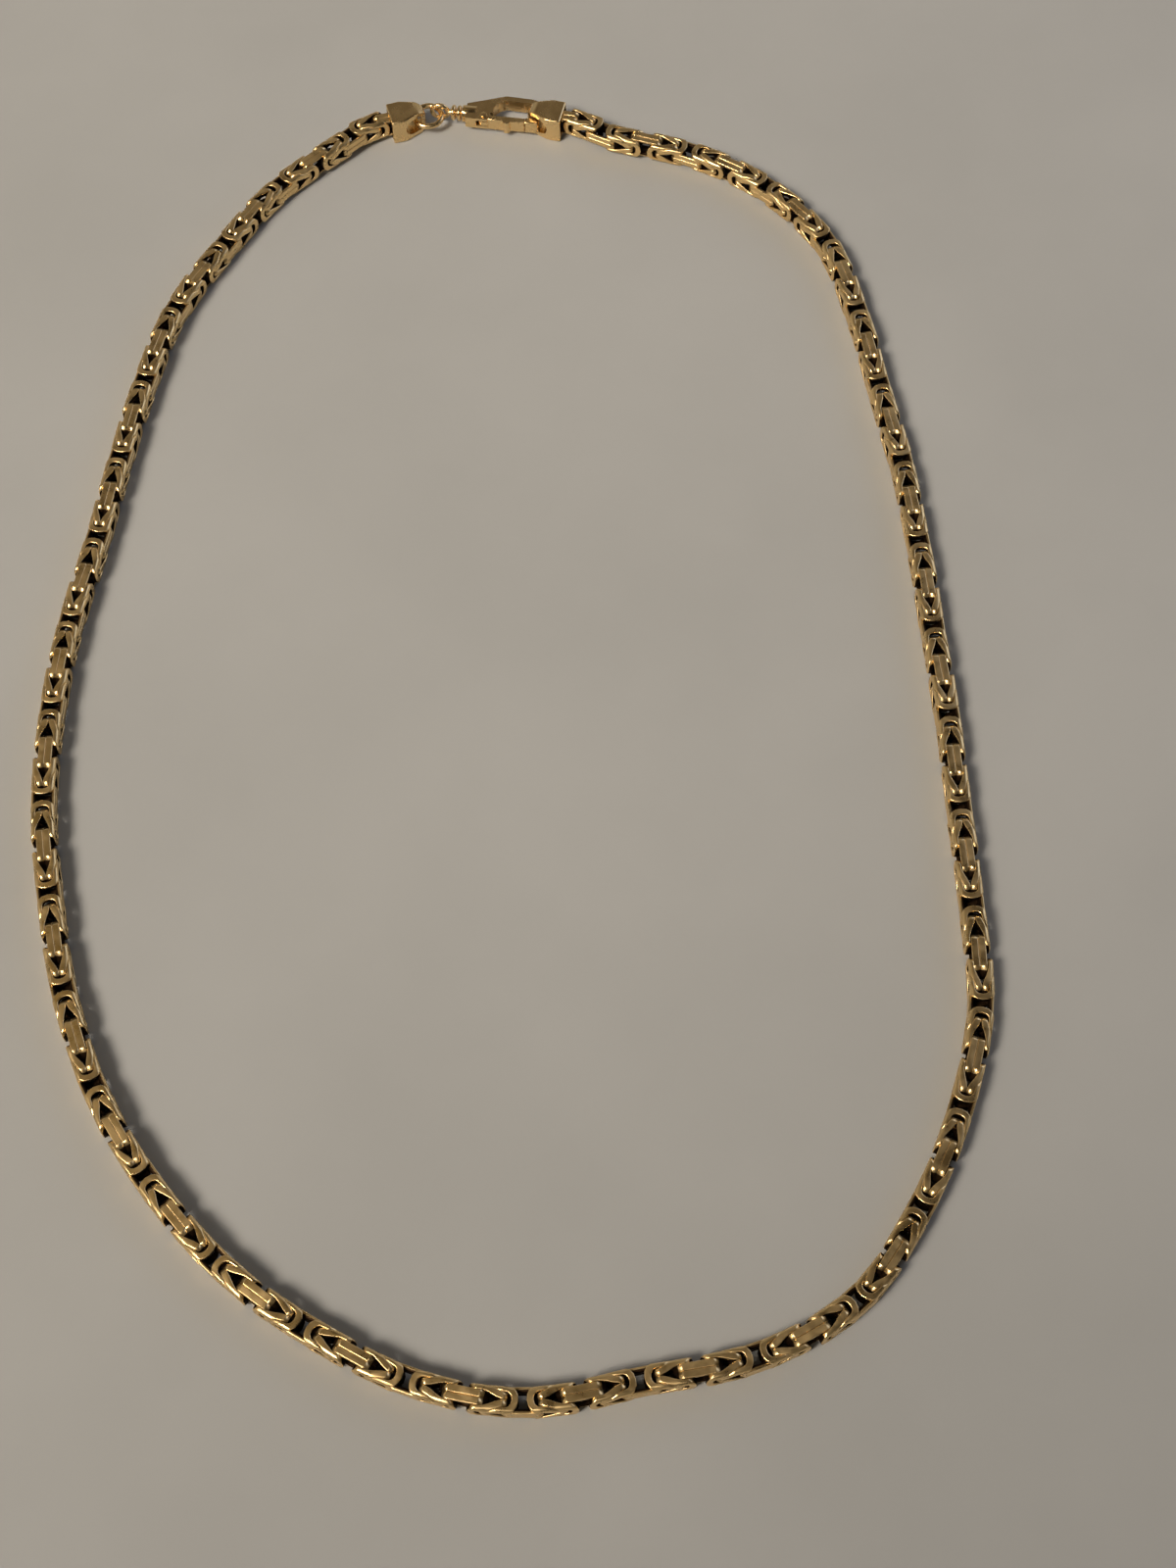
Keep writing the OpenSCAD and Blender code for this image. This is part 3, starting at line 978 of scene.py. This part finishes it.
@dataclass(frozen=True)
class SoftLamp:
    """A soft square light.

    Attributes:
        name: The light's name.
        place: Its place in metres.
        side: Its side in metres.
        watts: Its power.
        colour: Its colour.
        aim: The place that it faces.
        spread_deg: Angle over which it fans out.
    """

    name: str
    place: tuple[float, float, float]
    side: float
    watts: float
    colour: str
    aim: tuple[float, float, float] = (0.0, 0.0, 0.0)
    spread_deg: float = 180.0

    def build(self) -> None:
        """Adds the light."""
        lamp = bpy.data.lights.new(self.name, "AREA")
        lamp.shape = "SQUARE"
        lamp.size = self.side
        lamp.energy = self.watts
        lamp.color = linear(self.colour)[:3]
        lamp.spread = math.radians(self.spread_deg)
        made = bpy.data.objects.new(self.name, lamp)
        made.location = self.place
        way = Vector(self.aim) - Vector(self.place)
        made.rotation_euler = way.to_track_quat("-Z", "Y").to_euler()
        bpy.context.scene.collection.objects.link(made)


@dataclass
class Studio:
    """The pale floor, the soft light and the camera at the photograph's angle.

    Attributes:
        eye: The camera's place in millimetres.
        pitch_deg: Angle by which it looks down.
        roll_deg: Its turn about its own axis.
        focal_px: Focal length in pixels of the 1600 pixel high picture.
        picture_h: Height of the picture in pixels.
        sensor_h: Height of the sensor in millimetres.
        near_clip: Distance in metres under which the camera sees nothing.
        floor_side: Side of the floor in metres.
        room: Colour of the room at each height above the horizon, as the sine of the angle.
        shade: Strength of the room's light from behind the camera and from ahead of it.
        shade_band: Sines of the angles behind and ahead between which the strength changes.
        ceiling: Colour of the ceiling's brightest part, which the flat faces mirror.
        bright_way: The way towards that part.
        glow: Cosines of the angles from there at which its glow ends and is full.
        lamps: The lights.
        finish: The floor's finish.
    """

    eye: tuple[float, float, float] = (12.6, -165.2, 279.65)
    pitch_deg: float = 62.506
    roll_deg: float = -2.455
    focal_px: float = 2300.0
    picture_h: float = 1600.0
    sensor_h: float = 24.0
    near_clip: float = 0.005
    floor_side: float = 4.0
    room: tuple[tuple[float, str], ...] = (
        (0.0, "#78746F"), (0.12, "#9A968E"), (0.45, "#96928A"), (0.62, "#7A7266"),
        (0.74, "#5A5146"), (0.84, "#4C453A"), (0.9, "#453E34"), (0.97, "#38322A"))
    shade: tuple[float, float] = (0.25, 1.0)
    shade_band: tuple[float, float] = (-0.3, 0.3)
    ceiling: str = "#887751"
    bright_way: tuple[float, float, float] = (-0.30, 0.25, 0.92)
    glow: tuple[float, float] = (0.955, 0.995)
    lamps: tuple[SoftLamp, ...] = (
        SoftLamp("ceiling_lamp", (-0.62, -0.40, 0.86), 0.55, 0.98, "#FFF3E4",
                 (-0.06, 0.07, 0.0), 28.0),
        SoftLamp("second_lamp", (0.0, -0.69, 0.82), 0.3, 0.36, "#FFF6EA"),
        SoftLamp("window", (0.75, 0.50, 0.42), 0.7, 1.6, "#C6D8FF"))
    finish: Tabletop = field(default_factory=Tabletop)

    def _camera(self) -> None:
        """Places the camera."""
        pitch, roll = math.radians(self.pitch_deg), math.radians(self.roll_deg)
        right, up = Vector((1, 0, 0)), Vector((0, math.sin(pitch), math.cos(pitch)))
        ahead = Vector((0, math.cos(pitch), -math.sin(pitch)))
        x_axis = math.cos(roll) * right + math.sin(roll) * up
        y_axis = math.cos(roll) * up - math.sin(roll) * right
        made = bpy.data.cameras.new("camera")
        made.sensor_fit = "VERTICAL"
        made.sensor_height = self.sensor_h
        made.lens = self.focal_px / self.picture_h * self.sensor_h
        made.clip_start = self.near_clip
        camera = bpy.data.objects.new("camera", made)
        turn = Matrix((x_axis, y_axis, -ahead)).transposed()
        camera.matrix_world = Matrix.Translation(Vector(self.eye) * MM) @ turn.to_4x4()
        bpy.context.scene.collection.objects.link(camera)
        bpy.context.scene.camera = camera

    def _floor(self) -> None:
        """Lays the floor."""
        half = self.floor_side / 2
        mesh = bpy.data.meshes.new("floor")
        mesh.from_pydata([(-half, -half, 0), (half, -half, 0), (half, half, 0), (-half, half, 0)],
                         [], [(0, 1, 2, 3)])
        mesh.materials.append(self.finish.material())
        mesh_object("floor", mesh)

    def _room(self) -> None:
        """Builds the room that the gold mirrors as the world's background."""
        world = bpy.data.worlds.new("room")
        world.use_nodes = True
        tree = world.node_tree
        way = add_node(tree, "ShaderNodeTexCoord").outputs["Generated"]
        # The walls are bright and the ceiling is dim, so soft edges shine beside quiet flats.
        parts = add_node(tree, "ShaderNodeSeparateXYZ", {0: way}).outputs
        walls = add_node(tree, "ShaderNodeValToRGB", {"Fac": parts["Z"]})
        stops = walls.color_ramp.elements
        while len(stops) < len(self.room):
            stops.new(1.0)
        for stop, (sine, colour) in zip(stops, self.room):
            stop.position, stop.color = sine, linear(colour)
        # The ceiling is a little brighter towards the lamp, and flat faces mirror that.
        toward = add_node(tree, "ShaderNodeVectorMath", {
            0: way, 1: self.bright_way}, operation="DOT_PRODUCT").outputs["Value"]
        share = add_node(tree, "ShaderNodeMapRange", {
            "Value": toward, "From Min": self.glow[0], "From Max": self.glow[1]}).outputs["Result"]
        room = add_node(tree, "ShaderNodeMix", {
            0: share, 6: walls.outputs["Color"], 7: linear(self.ceiling)}, data_type="RGBA")
        ahead = add_node(tree, "ShaderNodeMapRange", {
            "Value": parts["Y"], "From Min": self.shade_band[0], "From Max": self.shade_band[1],
            "To Min": self.shade[0], "To Max": self.shade[1]}).outputs["Result"]
        tree.links.new(room.outputs[2], tree.nodes["Background"].inputs["Color"])
        tree.links.new(ahead, tree.nodes["Background"].inputs["Strength"])
        bpy.context.scene.world = world

    def build(self) -> None:
        """Makes the floor, the lights, the room and the camera."""
        self._floor()
        for lamp in self.lamps:
            lamp.build()
        self._room()
        bpy.context.scene.view_settings.view_transform = "Standard"
        self._camera()


def main() -> None:
    """Builds the necklace and its studio."""
    logging.basicConfig(level=logging.INFO, format="%(message)s")
    chain = ByzantineChain().build(WOVEN_GOLD.material())
    closure = Closure().build(POLISHED_GOLD.material())
    Studio().build()
    LOG.info("pieces: %s", ", ".join(piece.name for piece in [chain, *closure]))


if __name__ == "__main__":
    main()
